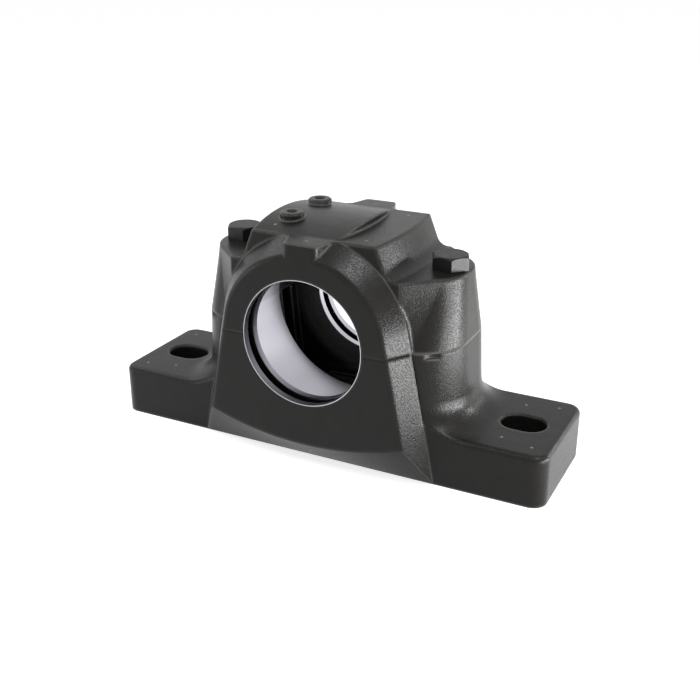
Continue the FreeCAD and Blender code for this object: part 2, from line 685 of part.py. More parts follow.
def soften_base(body):
    end_face = body.evalExpression(END_FACE)
    joint = body.evalExpression(AXIS)

    def bell_rim(edge):
        return (lies_at(edge, "y", end_face) or lies_at(edge, "y", -end_face)) and not (
            lies_at(edge, "z", joint))

    finish_edges(body, "Fillet", "BellRim", "Sizes.bell_edge", bell_rim)


def core_base(body):
    """Oil space beside the bearing seat: a tapered chamber, a side pocket and a drain slot."""
    for side, where in ((1, "Rear"), (-1, "Front")):
        inner = f"{side} * Sizes.seat_width / 2"
        outer = f"{side} * {WALL_INSIDE}"
        low, high = (inner, outer) if side > 0 else (outer, inner)
        top = new_sketch(body, where + "CavityTop", "XY", AXIS)
        outline(top, both_ways("Sizes.cavity_half_width", low, high))
        floor = new_sketch(body, where + "CavityFloor", "XY", "Sizes.cavity_floor")
        outline(floor, both_ways("(Sizes.cavity_half_width - Sizes.cavity_taper)", low, high))
        loft(body, "SubtractiveLoft", where + "Cavity", [top, floor])
        wall = body.evalExpression(outer)
        floor_level = body.evalExpression("Sizes.cavity_floor")
        finish_edges(body, "Fillet", where + "CavityFillet", "Sizes.cavity_fillet",
                     lambda edge: lies_at(edge, "y", wall) and lies_at(edge, "z", floor_level))
        slot_y = (f"({side} * (Sizes.seat_width / 2 + Sizes.drain_inset"
                  " + Sizes.drain_width / 2))")
        slot = new_sketch(body, where + "DrainPlan", "XY", "Sizes.cavity_floor")
        outline(slot, both_ways("Sizes.drain_length / 2", f"({slot_y} - Sizes.drain_width / 2)",
                                f"({slot_y} + Sizes.drain_width / 2)"))
        feature(body, "Pocket", where + "Drain", slot, Length="Sizes.drain_depth")
        pocket_y = (f"({side} * (Sizes.seat_width / 2 + Sizes.pocket_inset"
                    " + Sizes.pocket_width / 2))")
        pocket = new_sketch(body, where + "PocketPlan", "XY", AXIS)
        outline(pocket, both_ways("(Sizes.cavity_half_width + Sizes.pocket_reach)",
                                  f"({pocket_y} - Sizes.pocket_width / 2)",
                                  f"({pocket_y} + Sizes.pocket_width / 2)"))
        feature(body, "Pocket", where + "SidePocket", pocket, Length="Sizes.pocket_depth")


def drill_base(body):
    """Foot slots, tapped bolt holes, dowel holes and pry slots."""
    slots = new_sketch(body, "SlotPlan", "XY", "Sizes.foot_height")
    radius = "Sizes.slot_wide / 2"
    shift = f"(Sizes.slot_long / 2 - {radius})"
    for sign in ("", "-"):
        place = f"{sign}Sizes.slot_spacing / 2"
        outline(slots, [rounded(f"({place} + {shift})", "0", radius),
                        rounded(f"({place} - {shift})", "0", radius)])
    feature(body, "Pocket", "FootSlots", slots, Type="ThroughAll")
    foot_top = body.evalExpression("Sizes.foot_height")
    slot_end = body.evalExpression("(Sizes.slot_spacing + Sizes.slot_long) / 2")
    slot_side = body.evalExpression("Sizes.slot_wide / 2")

    def slot_mouth(edge):
        point = middle(edge)
        return lies_at(edge, "z", foot_top) and abs(point.x) < slot_end + SEARCH and (
            abs(point.y) < slot_side + SEARCH)

    finish_edges(body, "Chamfer", "SlotEdge", "Sizes.slot_edge", slot_mouth)
    tapped = new_sketch(body, "TappedHoles", "XY", AXIS)
    for x in bolt_places():
        circle(tapped, x, "0", "(Sizes.thread_pitch_diameter + Sizes.thread_gap)")
    feature(body, "Pocket", "TappedHole", tapped, Length=f"{AXIS} - {TAPPED_BOTTOM}")
    dowels = new_sketch(body, "DowelHoles", "XY", AXIS)
    for side in (1, -1):
        circle(dowels, f"{side} * ({BOLT_X} + Sizes.dowel_shift)", f"{side} * Sizes.dowel_side",
               "Sizes.dowel_diameter")
    feature(body, "Pocket", "DowelHole", dowels,
            Length="Sizes.dowel_length / 2 + Sizes.dowel_spare")
    pry = new_sketch(body, "PryPlan", "XY", AXIS)
    for across in (1, -1):
        for along in (1, -1):
            circle(pry, f"{across} * ({BOLT_X} + Sizes.pry_shift)", f"{along} * {HALF_DEPTH}",
                   "Sizes.pry_radius * 2")
    feature(body, "Pocket", "PrySlots", pry, Length="Sizes.pry_height")


def plan_box(low_x, high_x, half_width, radius):
    """Plan of a rounded pocket from low_x to high_x."""
    y = f"({half_width} - {radius})"
    left, right = f"({low_x} + {radius})", f"({high_x} - {radius})"
    return [rounded(right, y, radius), rounded(left, y, radius),
            rounded(left, f"-{y}", radius), rounded(right, f"-{y}", radius)]


def relieve_underside(body):
    """Cast recess under the base, with a deeper pocket under each column."""
    radius = "Sizes.relief_corner"
    half = "Sizes.relief_length / 2"
    recess = new_sketch(body, "RecessPlan", "XY")
    outline(recess, plan_box(f"-({half})", half, f"({HALF_DEPTH} - Sizes.relief_margin)", radius))
    feature(body, "Pocket", "Recess", recess, Reversed=True, Length="Sizes.relief_depth")
    pockets = new_sketch(body, "CorePlan", "XY")
    far = "(Sizes.core_start + Sizes.core_length)"
    for low, high in (("Sizes.core_start", far), (f"-{far}", "-Sizes.core_start")):
        outline(pockets, plan_box(low, high, f"({HALF_DEPTH} - Sizes.core_margin)", radius))
    feature(body, "Pocket", "ColumnCores", pockets, Reversed=True, Length="Sizes.core_height")


def make_bolt(doc, label, x):
    """Hexagon-head cap bolt, with its origin under the head."""
    body = new_body(doc, label)
    head = new_sketch(body, "HeadPlan", "XY")
    reach = "Sizes.head_flats / sqrt(3)"
    outline(head, [corner(f"({reach} * cos({number * DEGREES_PER_FLAT} + Sizes.head_turn))",
                          f"({reach} * sin({number * DEGREES_PER_FLAT} + Sizes.head_turn))")
                   for number in range(360 // DEGREES_PER_FLAT)])
    feature(body, "Pad", "Head", head, Length="Sizes.head_height")
    bevel = new_sketch(body, "HeadBevel", "XZ")
    face, outside, top = "Sizes.head_face / 2", "Sizes.head_flats", "Sizes.head_height"
    low = f"({top} - ({outside} - {face}) * tan(Sizes.head_chamfer))"
    outline(bevel, [corner(face, top), corner(outside, low), corner(outside, top)])
    turned(body, "Groove", "HeadChamfer", bevel, "V_Axis")
    shank = new_sketch(body, "ShankProfile", "XZ")
    radius = "Sizes.bolt_diameter / 2"
    thread = "Sizes.thread_pitch_diameter / 2"
    tip = "-Sizes.bolt_length"
    outline(shank, [corner("0", tip), corner(f"({thread} - Sizes.bolt_tip)", tip),
                    corner(thread, f"({tip} + Sizes.bolt_tip)"),
                    corner(thread, "-Sizes.bolt_plain"), corner(radius, "-Sizes.bolt_plain"),
                    corner(radius, "0"), corner("0", "0")])
    turned(body, "Revolution", "Shank", shank, "V_Axis")
    body.setExpression("Placement.Base.x", x)
    body.setExpression("Placement.Base.z", PLATFORM)
    return body


def make_dowel(doc, label, side):
    """Dowel pin that stands in the base and locates the cap."""
    body = new_body(doc, label)
    profile = new_sketch(body, "PinProfile", "XZ")
    radius = "Sizes.dowel_diameter / 2"
    half = "Sizes.dowel_length / 2"
    chamfer = "Sizes.dowel_chamfer"
    outline(profile, [corner("0", f"-{half}"), corner(f"({radius} - {chamfer})", f"-{half}"),
                      corner(radius, f"-({half} - {chamfer})"),
                      corner(radius, f"({half} - {chamfer})"),
                      corner(f"({radius} - {chamfer})", half), corner("0", half)])
    turned(body, "Revolution", "Pin", profile, "V_Axis")
    body.setExpression("Placement.Base.x", f"{side} * ({BOLT_X} + Sizes.dowel_shift)")
    body.setExpression("Placement.Base.y", f"{side} * Sizes.dowel_side")
    body.setExpression("Placement.Base.z", AXIS)
    return body


def check(doc, bodies):
    """Stop if any object failed or any piece is not one valid solid."""
    for item in doc.Objects:
        faults = {"Invalid", "Error"} & set(item.State)
        if faults:
            raise RuntimeError(f"{item.Label}: {sorted(faults)}")
    for body in bodies:
        shape = body.Shape
        if shape.isNull() or not shape.isValid() or len(shape.Solids) != 1:
            raise RuntimeError(f"{body.Label} is not one valid solid")


def main():
    doc = FreeCAD.newDocument("PlummerBlock")
    make_sheet(doc)
    bodies = [make_base(doc), make_cap(doc)]
    for label, x in zip(("cap_bolt_right", "cap_bolt_left"), bolt_places()):
        bodies.append(make_bolt(doc, label, x))
    for label, side in (("dowel_pin_right", 1), ("dowel_pin_left", -1)):
        bodies.append(make_dowel(doc, label, side))
    doc.recompute()
    check(doc, bodies)
    os.makedirs("parts", exist_ok=True)
    for body in bodies:
        body.Shape.exportStep(f"parts/{body.Label}.step")
        print(body.Label, round(body.Shape.Volume), "mm3")


main()
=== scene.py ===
# %% [markdown]
# # A split plummer block
#
# A plummer block is an iron housing that holds a bearing and carries a shaft. This one is
# split at the height of the shaft: the base and the cap are two grey iron castings, two
# hexagon bolts clamp them together, and two pins keep them in line. All six pieces already
# exist as solids at their real size. This lesson gives each one the surface that the foundry,
# the paint shop and the boring mill leave on it, and then lights and frames them as a
# catalogue would.

# %% Load the solids
import math

import bpy
import numpy as np
from mathutils import Matrix, Vector


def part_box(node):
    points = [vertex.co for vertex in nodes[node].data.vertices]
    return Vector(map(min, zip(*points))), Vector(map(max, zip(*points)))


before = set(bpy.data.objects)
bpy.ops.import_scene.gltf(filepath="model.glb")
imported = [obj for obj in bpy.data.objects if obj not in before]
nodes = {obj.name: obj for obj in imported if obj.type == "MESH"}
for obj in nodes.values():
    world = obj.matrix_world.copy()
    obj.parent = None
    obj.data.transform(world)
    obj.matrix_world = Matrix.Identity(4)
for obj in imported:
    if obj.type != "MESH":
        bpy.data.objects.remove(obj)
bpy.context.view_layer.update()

MM = 0.001
print("pieces:", sorted(nodes))

# %% [markdown]
# ## Colours and nodes
#
# Colours are easiest to read as sRGB hex values, the way a paint chart prints them, but a
# renderer adds light in linear values, so one function turns the first into the second.
# Nodes could be placed and joined by hand in the shader editor. Here a second function adds
# one node with its settings and links, so that each finish reads as a short recipe and comes
# out the same every time.

# %% Colours from a paint chart
def linear(code):
    """Linear colour of an sRGB hex code.

    A channel c becomes ((c + 0.055) / 1.055) to the power 2.4, or c / 12.92 where it is
    nearly black.
    """
    channels = np.array([int(code[i:i + 2], 16) for i in (1, 3, 5)]) / 255
    dark = channels / 12.92
    bright = ((channels + 0.055) / 1.055) ** 2.4
    return [float(c) for c in np.where(channels <= 0.04045, dark, bright)] + [1.0]


print("mid grey #808080 sends back", round(linear("#808080")[0], 3), "of the light")


# %% One node in one call
def add(tree, kind, links=None, values=None, **settings):
    """Add a node, set its properties and socket values, and link outputs to its inputs."""
    node = tree.nodes.new(kind)
    for key, value in settings.items():
        setattr(node, key, value)
    for key, value in (values or {}).items():
        node.inputs[key].default_value = value
    for key, source in (links or {}).items():
        tree.links.new(source, node.inputs[key])
    return node


def new_material(name):
    """An empty material and its node tree."""
    material = bpy.data.materials.new(name)
    material.use_nodes = True
    material.node_tree.nodes.clear()
    return material, material.node_tree


casting, iron = new_material("painted_sand_cast_iron")
print("new material for both castings:", casting.name)

# %% [markdown]
# ## Where the iron is bare
#
# The boring bar turns the shaft openings, the bearing seat and the seal grooves round one
# axis, and everything else keeps its cast and painted skin. The openings and the seat stay
# bare, and the narrow grooves are drawn black as painted shade for the shadow inside them. The
# border between paint and metal could be painted by hand on an unwrapped mesh. But the turned
# bands are exact cylinders, so a point's distance to the shaft's axis tells where they are,
# and the border stays sharp. A mask is such a test in nodes: 1 where a finish lies and 0
# elsewhere.

# %% A point's place on the casting
# The base ends at the height of the shaft, so its highest point gives that height.
SHAFT_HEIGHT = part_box("housing_base")[1].z


def shaft_distance(tree, here):
    """Distance of a point from the shaft's axis: the square root of x^2 + (z - height)^2."""
    apart = add(tree, "ShaderNodeVectorMath", {0: here}, {1: (0, 0, SHAFT_HEIGHT)},
                operation="SUBTRACT")
    flat = add(tree, "ShaderNodeVectorMath", {0: apart.outputs[0]}, {1: (1, 0, 1)},
               operation="MULTIPLY")
    return add(tree, "ShaderNodeVectorMath", {0: flat.outputs[0]},
               operation="LENGTH").outputs["Value"]


here = add(iron, "ShaderNodeTexCoord").outputs["Object"]
radius = shaft_distance(iron, here)
sides = add(iron, "ShaderNodeSeparateXYZ", {"Vector": here})
height = sides.outputs["Z"]
depth = add(iron, "ShaderNodeMath", {0: sides.outputs["Y"]}, operation="ABSOLUTE").outputs[0]
print("shaft axis", round(SHAFT_HEIGHT / MM, 1), "mm above the floor")

# %% Where the boring bar cut
OPENING_RADIUS, SEAT_RADIUS = 33.75 * MM, 50 * MM
SEAT_HALF_WIDTH = 17 * MM
WALL_BAND = 0.3 * MM


def turned_mask(tree, radius, depth):
    """1 on the walls of the shaft openings and of the bearing seat.

    A wall is where the radius is the bore's own, give or take a narrow band, because the
    solid's flat facets lie a little inside the true cylinder. The seat also ends at its half
    width.
    """
    openings = add(tree, "ShaderNodeMath", {0: radius}, {1: OPENING_RADIUS, 2: WALL_BAND},
                   operation="COMPARE")
    wide = add(tree, "ShaderNodeMath", {0: radius}, {1: SEAT_RADIUS, 2: WALL_BAND},
               operation="COMPARE")
    inner = add(tree, "ShaderNodeMath", {0: depth}, {1: SEAT_HALF_WIDTH},
                operation="LESS_THAN")
    seat = add(tree, "ShaderNodeMath", {0: wide.outputs[0], 1: inner.outputs[0]},
               operation="MULTIPLY")
    return add(tree, "ShaderNodeMath", {0: openings.outputs[0], 1: seat.outputs[0]},
               operation="MAXIMUM").outputs[0]


turned = turned_mask(iron, radius, depth)
print("bare: openings", round(2 * OPENING_RADIUS / MM, 1), "mm across, seat",
      round(2 * SEAT_RADIUS / MM, 1), "mm across and", round(2 * SEAT_HALF_WIDTH / MM, 1),
      "mm wide")

# %% The seal grooves
GROOVE_RADIUS = 39.5 * MM
GROOVE_NEAR, GROOVE_FAR = 38.6 * MM, 44 * MM


def groove_mask(tree, radius, depth):
    """1 inside the seal grooves: their radius and their depth each lie within half a width."""
    deep = add(tree, "ShaderNodeMath", {0: radius},
               {1: (OPENING_RADIUS + GROOVE_RADIUS) / 2 + WALL_BAND,
                2: (GROOVE_RADIUS - OPENING_RADIUS) / 2}, operation="COMPARE")
    wide = add(tree, "ShaderNodeMath", {0: depth},
               {1: (GROOVE_NEAR + GROOVE_FAR) / 2,
                2: (GROOVE_FAR - GROOVE_NEAR) / 2 + WALL_BAND}, operation="COMPARE")
    return add(tree, "ShaderNodeMath", {0: deep.outputs[0], 1: wide.outputs[0]},
               operation="MULTIPLY").outputs[0]


# The grooves are drawn black: painted shade for the shadow in them.
grooves = groove_mask(iron, radius, depth)
print("seal grooves lie", round(GROOVE_NEAR / MM, 1), "to", round(GROOVE_FAR / MM, 1),
      "mm from the middle")

# %% [markdown]
# ## Where the paint looks different
#
# The colour isn't the same all over. The chamber round the bearing is drawn lighter, as
# painted fill light where little light reaches inside. The joint of both castings is a fine
# dark line on the end faces, where the edges are sharp, and the painted edge highlight is left
# off it. Small marks in the foot and the cap show a fitter where pins or fittings may be
# drilled in later, and their light grey is a painted glint in their dimples. Each could be a
# material of its own on faces cut out for it, but a solid's mesh isn't cut up here, so these
# too are tests on a point's place.

# %% The chamber
CHAMBER_RADIUS, CHAMBER_FADE = 51 * MM, 6 * MM


def chamber_mask(tree, radius, depth):
    """1 in the bearing's chamber, fading to 0 towards the radius where the roof lies."""
    near = add(tree, "ShaderNodeMapRange", {"Value": radius},
               {"From Min": CHAMBER_RADIUS, "From Max": CHAMBER_RADIUS - CHAMBER_FADE})
    inner = add(tree, "ShaderNodeMath", {0: depth}, {1: GROOVE_NEAR}, operation="LESS_THAN")
    return add(tree, "ShaderNodeMath", {0: near.outputs[0], 1: inner.outputs[0]},
               operation="MULTIPLY").outputs[0]


# In this mask the colour is drawn lighter: painted fill light for a chamber that little light
# reaches.
chamber = chamber_mask(iron, radius, depth)
print("lightening ends", round(CHAMBER_RADIUS / MM, 1), "mm from the shaft's axis")

# %% The joint on the end faces
JOINT_BAND = 2.2 * MM
END_FACE_NEAR = 36 * MM


def joint_mask(tree, height, depth):
    """1 where the height is the shaft's, give or take a band, and the depth an end face's."""
    level = add(tree, "ShaderNodeMath", {0: height}, {1: SHAFT_HEIGHT, 2: JOINT_BAND},
                operation="COMPARE")
    outer = add(tree, "ShaderNodeMath", {0: depth}, {1: END_FACE_NEAR},
                operation="GREATER_THAN")
    return add(tree, "ShaderNodeMath", {0: level.outputs[0], 1: outer.outputs[0]},
               operation="MULTIPLY").outputs[0]


joint = joint_mask(iron, height, depth)
print("the joint's band is", round(2 * JOINT_BAND / MM, 1), "mm high")

# %% Small drilled marks
# Each place is x and y in millimetres.
MARK_PLACES = [(100, 20.5), (117, 24.6), (26, 26), (0, 40)]
MARK_OUTSIDE, MARK_INSIDE = 1.0 * MM, 0.6 * MM


def mark_distance(tree, here):
    """Distance to the nearest mark, with the part folded onto its rear right quarter.

    Folding takes the size of x and y without their signs, so one place stands for two or
    four marks. The distance is the square root of (x - mark x)^2 + (y - mark y)^2.
    """
    folded = add(tree, "ShaderNodeVectorMath", {0: here}, operation="ABSOLUTE").outputs[0]
    flat = add(tree, "ShaderNodeVectorMath", {0: folded}, {1: (1, 1, 0)},
               operation="MULTIPLY").outputs[0]
    away = [add(tree, "ShaderNodeVectorMath", {0: flat}, {1: (x * MM, y * MM, 0)},
                operation="DISTANCE").outputs["Value"] for x, y in MARK_PLACES]
    nearest = away[0]
    for other in away[1:]:
        nearest = add(tree, "ShaderNodeMath", {0: nearest, 1: other},
                      operation="MINIMUM").outputs[0]
    return nearest


# The marks get a light grey: a painted glint in their dimples.
marks = add(iron, "ShaderNodeMapRange", {"Value": mark_distance(iron, here)},
            {"From Min": MARK_OUTSIDE, "From Max": MARK_INSIDE}).outputs[0]
print(len(MARK_PLACES), "places of marks, each", round(2 * MARK_OUTSIDE / MM, 1), "mm across")

# %% [markdown]
# ## The cast skin
#
# Sand leaves a skin of fine grains over slow swells, where the mould gave way a little, and no
# edge of a casting is sharp. Displacement could raise all of this, but it would take millions
# of faces and change the solids. So the skin is bump, which only bends the normal, and the
# Bevel node gives an edge the shading of a small round. How far that node bends the normal
# also tells where the edges are, and there a lighter colour is painted on as a painted
# highlight.

# %% Soft edges
EDGE_ROUND = 2.4 * MM
BEVEL_SAMPLES = 8
EDGE_BEGINS, EDGE_FULL = 0.99, 0.88


def soft_edges(tree):
    """Normal with each edge rounded off, and a mask that is 1 on the edges.

    The product of the rounded and the true normal is the cosine of the angle between them:
    1 on a face and less on an edge.
    """
    rounded = add(tree, "ShaderNodeBevel", values={"Radius": EDGE_ROUND},
                  samples=BEVEL_SAMPLES)
    shape = add(tree, "ShaderNodeNewGeometry")
    cosine = add(tree, "ShaderNodeVectorMath",
                 {0: rounded.outputs[0], 1: shape.outputs["True Normal"]},
                 operation="DOT_PRODUCT").outputs["Value"]
    edges = add(tree, "ShaderNodeMapRange", {"Value": cosine},
                {"From Min": EDGE_BEGINS, "From Max": EDGE_FULL})
    return rounded.outputs["Normal"], edges.outputs[0]


soft_normal, edges = soft_edges(iron)
# Where this mask is 1, a lighter colour is painted on as a painted highlight.
bend = math.degrees(math.acos(EDGE_FULL))
print("paint is lightened where the normal bends by", round(bend), "degrees or more")

# %% Swells and grains
SWELL_SIZE, SWELL_DEPTH, SWELL_STRENGTH = 9 * MM, 0.3 * MM, 0.35
# Grains of moulding sand are 0.3 to 0.5 mm, less than a pixel here, so they are drawn larger.
GRAIN_SIZE, GRAIN_DEPTH, GRAIN_STRENGTH = 1.0 * MM, 0.08 * MM, 0.5
PIT_FLOOR, PIT_RIM = 0.36, 0.52


def cast_skin(tree, here, normal):
    """Swells, the skin's level between 0 in a pit and 1 beside it, and the bent normal.

    Swells and grains are noise, with a scale of one over the size of a lump. The level is
    the grains' noise cut off above the pits' rim, which leaves a flat skin with small pits
    in it. Each bump bends the normal that comes before it.
    """
    swells = add(tree, "ShaderNodeTexNoise", {"Vector": here},
                 {"Scale": 1 / SWELL_SIZE, "Detail": 1.0, "Roughness": 0.4}).outputs["Fac"]
    wavy = add(tree, "ShaderNodeBump", {"Height": swells, "Normal": normal},
               {"Strength": SWELL_STRENGTH, "Distance": SWELL_DEPTH})
    grains = add(tree, "ShaderNodeTexNoise", {"Vector": here},
                 {"Scale": 1 / GRAIN_SIZE, "Detail": 2.0, "Roughness": 0.6})
    level = add(tree, "ShaderNodeMapRange", {"Value": grains.outputs["Fac"]},
                {"From Min": PIT_FLOOR, "From Max": PIT_RIM},
                interpolation_type="SMOOTHSTEP").outputs["Result"]
    grainy = add(tree, "ShaderNodeBump", {"Height": level, "Normal": wavy.outputs["Normal"]},
                 {"Strength": GRAIN_STRENGTH, "Distance": GRAIN_DEPTH})
    return swells, level, grainy.outputs["Normal"]


swells, level, skin_normal = cast_skin(iron, here, soft_normal)
print("swells of", round(SWELL_SIZE / MM, 1), "mm under grains of",
      round(GRAIN_SIZE / MM, 1), "mm")

# %% [markdown]
# ## The paint
#
# Such a housing is sprayed with a dark grey, semi-matte paint that keeps off rust. A full
# gloss would show the lamps as hard patches, and a dead matt one would lose the long soft
# highlights by which the eye reads the rounds. The matting powder in the paint scatters part
# of its mirror image. So its IOR is below the 1.5 of a clear varnish, and its roughness is a
# little higher in the pits, where the powder gathers.

# %% Colours of the paint
PAINT_DARK, PAINT_LIGHT = "#151413", "#1c1b1a"
# Painted light: the first of these colours is a lighter fill in the chamber, the second a
# highlight on the edges, the third a glint in the marks, and the last is shade in the grooves.
CHAMBER_PAINTED_LIGHT, EDGE_PAINTED_HIGHLIGHT, MARK_PAINTED_GLINT, GROOVE_PAINTED_SHADE = "#50514f", "#4f4e4b", "#6f6e6b", "#0b0b0b"

tint = add(iron, "ShaderNodeValToRGB", {"Fac": swells})
for stop, code in zip(tint.color_ramp.elements, (PAINT_DARK, PAINT_LIGHT)):
    stop.color = linear(code)

# Painted highlight: a lighter colour on the edges, left off the joint's band so that the joint
# stays a dark line.
thin = add(iron, "ShaderNodeMath", {0: edges, 1: joint}, operation="SUBTRACT",
           use_clamp=True).outputs[0]
shade = tint.outputs["Color"]
for mask, code in ((chamber, CHAMBER_PAINTED_LIGHT), (thin, EDGE_PAINTED_HIGHLIGHT), (marks, MARK_PAINTED_GLINT),
                   (grooves, GROOVE_PAINTED_SHADE)):
    shade = add(iron, "ShaderNodeMix", {"Factor": mask, "A": shade}, {"B": linear(code)},
                data_type="RGBA").outputs["Result"]
print("the paint sends back", round(linear(PAINT_DARK)[0], 4), "to",
      round(linear(PAINT_LIGHT)[0], 4), "of the light")

# %% The painted surface
PIT_ROUGHNESS, SKIN_ROUGHNESS = 0.34, 0.28
PAINT_IOR = 1.26

satin = add(iron, "ShaderNodeMapRange", {"Value": level},
            {"To Min": PIT_ROUGHNESS, "To Max": SKIN_ROUGHNESS})
paint = add(iron, "ShaderNodeBsdfPrincipled",
            {"Base Color": shade, "Roughness": satin.outputs["Result"],
             "Normal": skin_normal}, {"IOR": PAINT_IOR})
mirrored = ((PAINT_IOR - 1) / (PAINT_IOR + 1)) ** 2
print("seen straight on, the paint mirrors", round(100 * mirrored, 1), "% of the light")

# %% [markdown]
# ## The turned iron
#
# Where the boring bar passed, the iron is bare, pale and slightly violet, with fine rings and
# no pits. The rings could be cut as geometry, but real ones lie about 0.2 mm apart, and a bump
# in rings looks the same. The rings also stretch each highlight across themselves, and that is
# what an anisotropic metal with a tangent round the axis does. Lighter and darker stripes,
# which run straight across the seat, are painted into the metal's colour as painted streaks of
# reflection. The eye gets a bright, silky band in a dark casting.

# %% Rings and stripes
# A Wave node repeats every 0.31 of its unit: 3 mm gives a ring each 0.9 mm, just wide enough
# to show, where the real feed of about 0.2 mm would not.
RING_UNIT, RING_DEPTH, RING_STRENGTH = 3.0 * MM, 0.02 * MM, 0.12
# Width and colours of the painted streaks of reflection across the seat.
STREAK_SIZE = 34 * MM
STREAK_COLOURS = [(0.35, "#aeadb6"), (0.65, "#c9c8d0")]


def turned_rings(tree, here):
    """Normal of the rings: a wave along y, the shaft's direction, used as a height."""
    wave = add(tree, "ShaderNodeTexWave", {"Vector": here},
               {"Scale": 1 / RING_UNIT, "Distortion": 0.6, "Detail": 2.0},
               bands_direction="Y")
    return add(tree, "ShaderNodeBump", {"Height": wave.outputs["Fac"]},
               {"Strength": RING_STRENGTH, "Distance": RING_DEPTH}).outputs["Normal"]


def painted_streaks(tree, here):
    """Colour of the stripes, painted streaks of reflection: noise on x and z alone, so that it
    is the same all along y.
    """
    across = add(tree, "ShaderNodeVectorMath", {0: here}, {1: (1, 0, 1)},
                 operation="MULTIPLY")
    bands = add(tree, "ShaderNodeTexNoise", {"Vector": across.outputs[0]},
                {"Scale": 1 / STREAK_SIZE, "Detail": 1.0, "Roughness": 0.4})
    sheen = add(tree, "ShaderNodeValToRGB", {"Fac": bands.outputs["Fac"]})
    for stop, (position, code) in zip(sheen.color_ramp.elements, STREAK_COLOURS):
        stop.color = linear(code)
        stop.position = position
    return sheen.outputs["Color"]


rings, stripes = turned_rings(iron, here), painted_streaks(iron, here)
print("stripes", round(STREAK_SIZE / MM, 1), "mm wide, from", STREAK_COLOURS[0][1], "to",
      STREAK_COLOURS[1][1])

# %% The turned surface, and both on one casting
TURNED_ROUGHNESS, TURNED_STRETCH = 0.3, 0.6

round_axis = add(iron, "ShaderNodeTangent", direction_type="RADIAL", axis="Y")
# Its colour carries the painted streaks of reflection.
bare = add(iron, "ShaderNodeBsdfPrincipled",
           {"Base Color": stripes, "Normal": rings, "Tangent": round_axis.outputs[0]},
           {"Metallic": 1.0, "Roughness": TURNED_ROUGHNESS, "Anisotropic": TURNED_STRETCH})
surface = add(iron, "ShaderNodeMixShader", {0: turned, 1: paint.outputs[0],
                                            2: bare.outputs[0]})
add(iron, "ShaderNodeOutputMaterial", {"Surface": surface.outputs[0]})


def dress(node, material):
    """Give a solid one material in place of those it came with."""
    mesh = nodes[node].data
    mesh.materials.clear()
    mesh.materials.append(material)


for name in ("housing_base", "housing_cap"):
    dress(name, casting)
print("the castings wear", casting.name, "with", len(iron.nodes), "nodes")

# %% [markdown]
# ## Blackened bolts
#
# The bolts are quenched and then blackened in a hot salt bath. The oxide is thin, almost
# black and sealed with oil, and it is rougher where it lies thick. It could be made as a dark
# metal, but it hides the steel and shines like a dull varnish. So it isn't metallic, and only
# its roughness has a pattern. The eye gets crisp, black faces with one soft shine each.

# %% Black oxide on steel
OXIDE_BLACK, OXIDE_IOR, OXIDE_PATCH = "#131314", 1.3, 2.5 * MM
OXIDE_THIN, OXIDE_THICK = 0.34, 0.5


def blackened_steel():
    """Almost black, with a roughness that drifts between patches of thin and thick oxide."""
    material, tree = new_material("black_oxide_steel")
    place = add(tree, "ShaderNodeTexCoord")
    patches = add(tree, "ShaderNodeTexNoise", {"Vector": place.outputs["Object"]},
                  {"Scale": 1 / OXIDE_PATCH, "Detail": 4.0})
    dull = add(tree, "ShaderNodeMapRange", {"Value": patches.outputs["Fac"]},
               {"To Min": OXIDE_THIN, "To Max": OXIDE_THICK})
    coat = add(tree, "ShaderNodeBsdfPrincipled", {"Roughness": dull.outputs["Result"]},
               {"Base Color": linear(OXIDE_BLACK), "IOR": OXIDE_IOR})
    add(tree, "ShaderNodeOutputMaterial", {"Surface": coat.outputs[0]})
    return material


oxide = blackened_steel()
for name in ("cap_bolt_right", "cap_bolt_left"):
    dress(name, oxide)
print("the bolts wear", oxide.name, "in patches of", round(OXIDE_PATCH / MM, 1), "mm")

# %% [markdown]
# ## Ground pins
#
# Two dowel pins keep the cap in line with the base, and they show only when the cap is
# lifted. A grinding wheel leaves them bright, with fine rings round them. A mirror-smooth
# metal would look like chrome, so the roughness is higher and a wave along the pin serves as
# the rings. The eye gets a pale, silky streak along each pin.

# %% Ground steel
# Grinding marks are far finer than a pixel: this unit gives one each 0.5 mm, so they show.
STEEL_GREY, STEEL_ROUGHNESS = "#c4c4c6", 0.22
GRIND_UNIT, GRIND_DEPTH, GRIND_STRENGTH = 1.5 * MM, 0.01 * MM, 0.1


def ground_steel():
    """A bright metal with fine rings: a wave along z, the pin's own direction."""
    material, tree = new_material("ground_steel")
    place = add(tree, "ShaderNodeTexCoord")
    wave = add(tree, "ShaderNodeTexWave", {"Vector": place.outputs["Object"]},
               {"Scale": 1 / GRIND_UNIT, "Distortion": 1.0}, bands_direction="Z")
    fine = add(tree, "ShaderNodeBump", {"Height": wave.outputs["Fac"]},
               {"Strength": GRIND_STRENGTH, "Distance": GRIND_DEPTH})
    steel = add(tree, "ShaderNodeBsdfPrincipled", {"Normal": fine.outputs["Normal"]},
                {"Base Color": linear(STEEL_GREY), "Metallic": 1.0,
                 "Roughness": STEEL_ROUGHNESS})
    add(tree, "ShaderNodeOutputMaterial", {"Surface": steel.outputs[0]})
    return material


ground = ground_steel()
for name in ("dowel_pin_right", "dowel_pin_left"):
    dress(name, ground)
print("the pins wear", ground.name)

# %% [markdown]
# ## Floor and background
#
# The block stands on a wide matt white board in a white room. Strong lamps would make both
# white in the picture, but they would wash out the dark paint. So the light stays at a plain
# level, and the board and the room get a glow that only the camera and mirrored or refracted
# rays see. It shines in the iron's gloss, as a white room does, but it adds nothing to the
# light that the iron scatters. The rest of the board's brightness comes from real light, so
# the board still shows the block's shadow.

